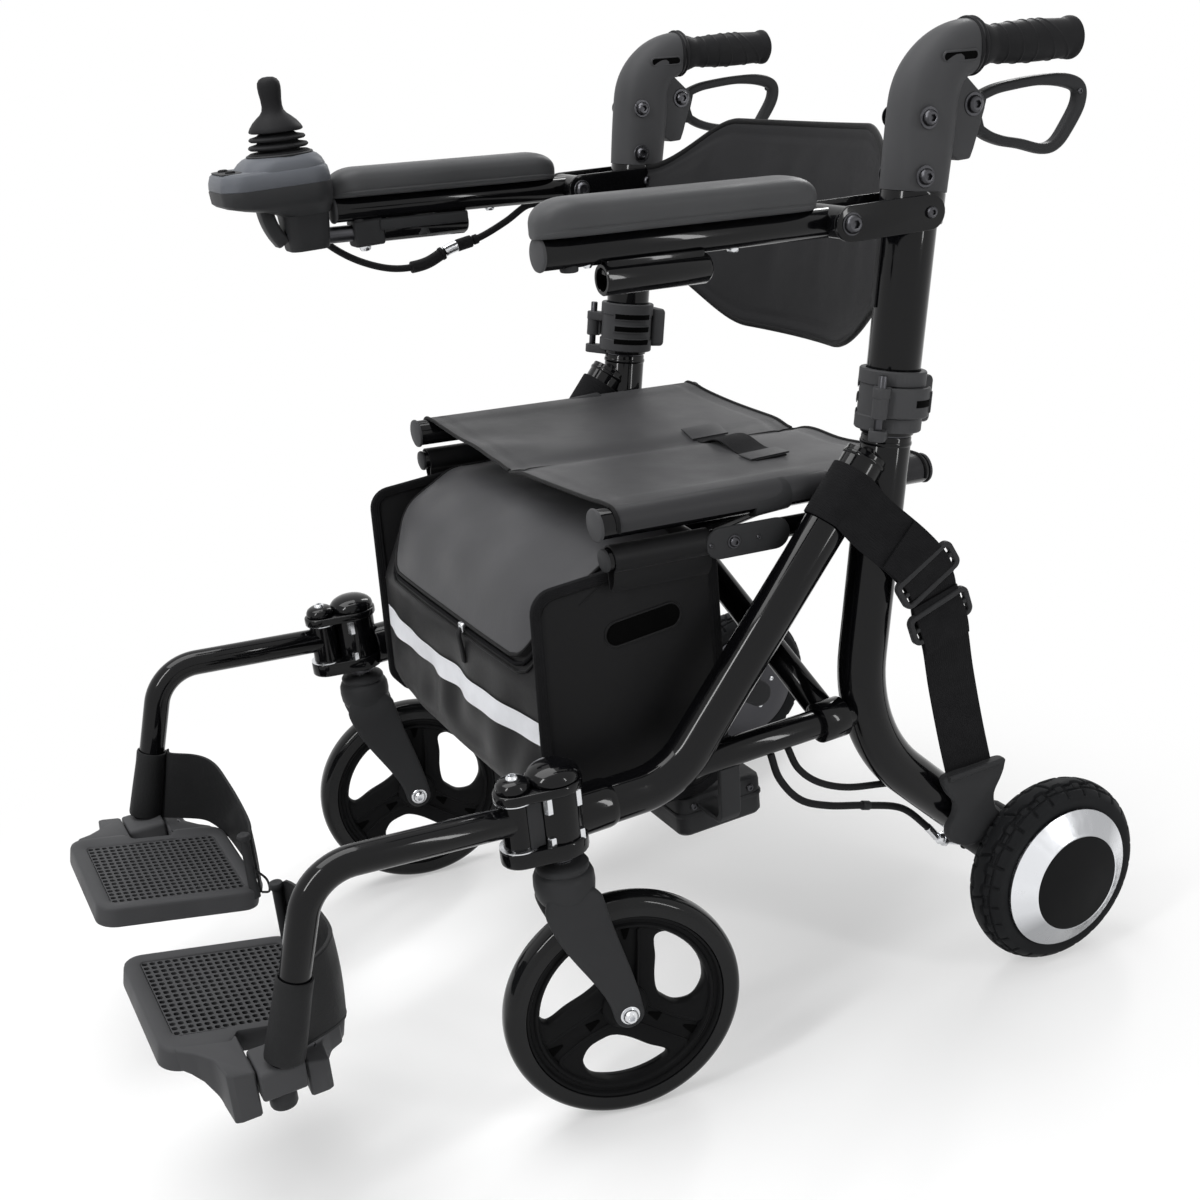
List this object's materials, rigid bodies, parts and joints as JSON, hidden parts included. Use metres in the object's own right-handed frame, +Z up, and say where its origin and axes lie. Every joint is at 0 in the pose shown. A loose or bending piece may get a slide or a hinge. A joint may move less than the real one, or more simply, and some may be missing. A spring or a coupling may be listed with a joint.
{
  "type": "rollator transport chair",
  "caption": "Black folding rollator that doubles as a powered transport chair, with joystick, hub-motor rear wheels, swivel casters, sling seat, bag and flip-up footrests.",
  "frame": {"origin": "on the floor, under the middle of the chair's box", "axes": "+X to the sitter's left, +Y towards the back, +Z up"},
  "size_m": [0.6286, 0.902, 0.8579],
  "materials": {
    "tube": "gloss black paint",
    "moulding": "satin moulded black",
    "tyre": "black rubber",
    "hub": "brushed silver cone, black cap",
    "rubber": "soft black rubber",
    "pad": "soft moulded foam skin",
    "leather": "grained black leatherette",
    "webbing": "woven black webbing",
    "cloth": "coated black woven cloth",
    "steel": "zinc plated"
  },
  "bodies": {
    "right_frame": {"side_frame_right": "tube", "rail_bracket_right": "tube", "caster_housing_right": "moulding", "motor_mount_right": "moulding", "seat_belt_right": "webbing", "brake_cable_right": "rubber", "bag": "cloth"},
    "left_frame": {"side_frame_left": "tube", "rail_bracket_left": "tube", "caster_housing_left": "moulding", "motor_mount_left": "moulding", "seat_belt_left": "webbing", "brake_cable_left": "rubber", "battery_pack": "moulding"},
    "cross_a": {"cross_tube_a": "tube", "cross_bolt": "steel", "seat_sling": "cloth"},
    "cross_b": {"cross_tube_b": "tube"},
    "right_caster": {"caster_fork_right": "moulding"},
    "right_front_wheel": {"front_wheel_right": "moulding", "front_tyre_right": "tyre"},
    "right_rear_wheel": {"motor_hub_right": "hub", "rear_tyre_right": "tyre"},
    "right_post": {"upper_post_right": "tube", "handle_cover_right": "moulding", "grip_right": "rubber", "post_clamp_right": "moulding", "backrest": "cloth"},
    "right_clamp": {"clamp_lever_right": "moulding"},
    "right_brake": {"brake_lever_right": "moulding"},
    "right_arm": {"arm_tube_right": "tube", "arm_pad_right": "pad", "joystick_housing": "moulding", "joystick_boot": "rubber", "controller_cable": "rubber"},
    "right_footrest": {"footrest_arm_right": "tube", "footplate_pin_right": "steel", "heel_strap_right": "leather"},
    "right_footplate": {"footplate_right": "moulding"},
    "left_caster": {"caster_fork_left": "moulding"},
    "left_front_wheel": {"front_wheel_left": "moulding", "front_tyre_left": "tyre"},
    "left_rear_wheel": {"motor_hub_left": "hub", "rear_tyre_left": "tyre"},
    "left_post": {"upper_post_left": "tube", "handle_cover_left": "moulding", "grip_left": "rubber", "post_clamp_left": "moulding"},
    "left_clamp": {"clamp_lever_left": "moulding"},
    "left_brake": {"brake_lever_left": "moulding"},
    "left_arm": {"arm_tube_left": "tube", "arm_pad_left": "pad"},
    "left_footrest": {"footrest_arm_left": "tube", "footplate_pin_left": "steel", "heel_strap_left": "leather"},
    "left_footplate": {"footplate_left": "moulding"},
    "joystick_ring": {"joystick_gimbal": "steel"},
    "joystick_handle": {"joystick_stick": "rubber"},
    "button_1": {"joystick_button_1": "moulding"},
    "button_2": {"joystick_button_2": "moulding"}
  },
  "joints": [
    {"name": "fold", "type": "hinge", "parent": "right_frame", "child": "cross_a", "pos_m": [-0.232, 0.136, 0.291], "axis": [0, -1, 0], "range_deg": [0, 17], "deforming": ["seat_sling", "backrest", "bag"]},
    {"name": "cross_pivot", "type": "hinge", "parent": "cross_a", "child": "cross_b", "pos_m": [0, 0.136, 0.4006], "axis": [0, -1, 0], "range_deg": [-34, 0]},
    {"name": "left_frame_pivot", "type": "hinge", "parent": "cross_b", "child": "left_frame", "pos_m": [0.232, 0.136, 0.291], "axis": [0, -1, 0], "range_deg": [0, 17]},
    {"name": "right_caster_swivel", "type": "hinge", "parent": "right_frame", "child": "right_caster", "pos_m": [-0.242, -0.121, 0.24], "axis": [0, 0, 1], "continuous": true},
    {"name": "right_front_wheel_spin", "type": "hinge", "parent": "right_caster", "child": "right_front_wheel", "pos_m": [-0.23475, -0.0837, 0.104], "axis": [0.9816, -0.1908, 0], "continuous": true},
    {"name": "right_rear_wheel_spin", "type": "hinge", "parent": "right_frame", "child": "right_rear_wheel", "pos_m": [-0.2788, 0.361, 0.09], "axis": [1, 0, 0], "continuous": true},
    {"name": "right_post_slide", "type": "slide", "parent": "right_frame", "child": "right_post", "axis": [0, 0.1714, 0.9852], "range_m": [0, 0.1]},
    {"name": "right_clamp_open", "type": "hinge", "parent": "right_post", "child": "right_clamp", "pos_m": [-0.2556, 0.19391, 0.53978], "axis": [0, 0.1714, 0.9852], "range_deg": [0, 100]},
    {"name": "right_brake_squeeze", "type": "hinge", "parent": "right_post", "child": "right_brake", "pos_m": [-0.232, 0.308, 0.79], "axis": [1, 0, 0], "range_deg": [0, 7], "stiffness_Nm_per_rad": 6},
    {"name": "right_arm_flip", "type": "hinge", "parent": "right_post", "child": "right_arm", "pos_m": [-0.232, 0.176, 0.716], "axis": [-1, 0, 0], "range_deg": [0, 90]},
    {"name": "right_footrest_swing", "type": "hinge", "parent": "right_frame", "child": "right_footrest", "pos_m": [-0.242, -0.155, 0.299], "axis": [0, 0, -1], "range_deg": [0, 90]},
    {"name": "right_footplate_flip", "type": "hinge", "parent": "right_footrest", "child": "right_footplate", "pos_m": [-0.224, -0.374, 0.146], "axis": [0, -1, 0], "range_deg": [0, 70], "deforming": ["heel_strap_right"]},
    {"name": "left_caster_swivel", "type": "hinge", "parent": "left_frame", "child": "left_caster", "pos_m": [0.242, -0.121, 0.24], "axis": [0, 0, 1], "continuous": true},
    {"name": "left_front_wheel_spin", "type": "hinge", "parent": "left_caster", "child": "left_front_wheel", "pos_m": [0.24925, -0.0837, 0.104], "axis": [0.9816, -0.1908, 0], "continuous": true},
    {"name": "left_rear_wheel_spin", "type": "hinge", "parent": "left_frame", "child": "left_rear_wheel", "pos_m": [0.2788, 0.361, 0.09], "axis": [1, 0, 0], "continuous": true},
    {"name": "left_post_slide", "type": "slide", "parent": "left_frame", "child": "left_post", "axis": [0, 0.1714, 0.9852], "range_m": [0, 0.1]},
    {"name": "left_clamp_open", "type": "hinge", "parent": "left_post", "child": "left_clamp", "pos_m": [0.2556, 0.19391, 0.53978], "axis": [0, -0.1714, -0.9852], "range_deg": [0, 100]},
    {"name": "left_brake_squeeze", "type": "hinge", "parent": "left_post", "child": "left_brake", "pos_m": [0.232, 0.308, 0.79], "axis": [1, 0, 0], "range_deg": [0, 7], "stiffness_Nm_per_rad": 6},
    {"name": "left_arm_flip", "type": "hinge", "parent": "left_post", "child": "left_arm", "pos_m": [0.232, 0.176, 0.716], "axis": [-1, 0, 0], "range_deg": [0, 90]},
    {"name": "left_footrest_swing", "type": "hinge", "parent": "left_frame", "child": "left_footrest", "pos_m": [0.242, -0.155, 0.299], "axis": [0, 0, 1], "range_deg": [0, 90]},
    {"name": "left_footplate_flip", "type": "hinge", "parent": "left_footrest", "child": "left_footplate", "pos_m": [0.224, -0.374, 0.146], "axis": [0, 1, 0], "range_deg": [0, 70], "deforming": ["heel_strap_left"]},
    {"name": "joystick_push", "type": "hinge", "parent": "right_arm", "child": "joystick_ring", "pos_m": [-0.235, -0.122, 0.772], "axis": [1, 0, 0], "range_deg": [-18, 18], "stiffness_Nm_per_rad": 0.6, "deforming": ["joystick_boot"]},
    {"name": "joystick_tilt", "type": "hinge", "parent": "joystick_ring", "child": "joystick_handle", "pos_m": [-0.235, -0.122, 0.772], "axis": [0, 1, 0], "range_deg": [-18, 18], "stiffness_Nm_per_rad": 0.6},
    {"name": "button_1_press", "type": "slide", "parent": "right_arm", "child": "button_1", "axis": [0, 0, -1], "range_m": [0, 0.001], "stiffness_N_per_m": 400},
    {"name": "button_2_press", "type": "slide", "parent": "right_arm", "child": "button_2", "axis": [0, 0, -1], "range_m": [0, 0.001], "stiffness_N_per_m": 400}
  ],
  "couplings": [
    {"joint": "cross_pivot", "follows": "fold", "ratio": -2},
    {"joint": "left_frame_pivot", "follows": "fold", "ratio": 1},
    {"joint": "left_post_slide", "follows": "right_post_slide", "ratio": 1}
  ]
}
